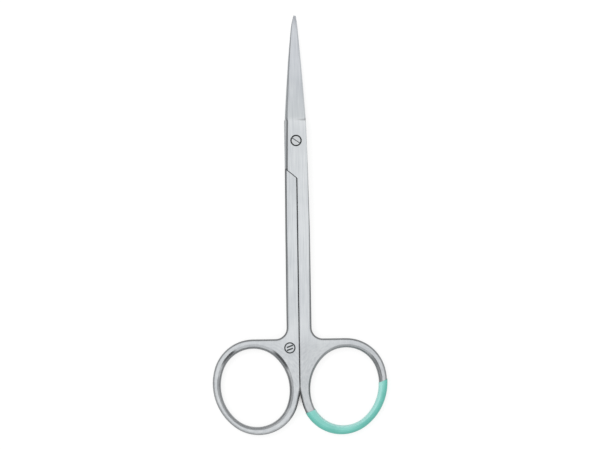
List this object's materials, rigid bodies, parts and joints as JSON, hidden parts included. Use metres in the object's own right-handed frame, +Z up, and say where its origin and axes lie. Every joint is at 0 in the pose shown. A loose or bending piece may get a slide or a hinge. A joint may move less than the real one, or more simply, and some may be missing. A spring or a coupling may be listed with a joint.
{
  "type": "iris scissors",
  "caption": "Straight iris scissors: two forged steel halves in a lap joint on a slotted screw, oval finger rings, one ring part-dipped in mint-green coating.",
  "frame": {"origin": "on the screw's axis, at the flat underside of the joint that the scissors rest on", "axes": "+Y along the closed blades towards the tips, +Z up through the screw's head, +X towards the coated ring's side"},
  "size_m": [0.048, 0.1153, 0.0034],
  "materials": {
    "steel": "satin, brushed lengthwise",
    "screw_steel": "satin",
    "coating": "smooth dip coat, mint green"
  },
  "bodies": {
    "lower": {"lower_half": "steel", "pivot_screw": "screw_steel"},
    "upper": {"upper_half": "steel", "ring_coating": "coating"}
  },
  "joints": [
    {"name": "blade_pivot", "type": "hinge", "parent": "lower", "child": "upper", "pos_m": [0, 0, 0.0017], "axis": [0, 0, 1], "range_deg": [0, 135]}
  ]
}
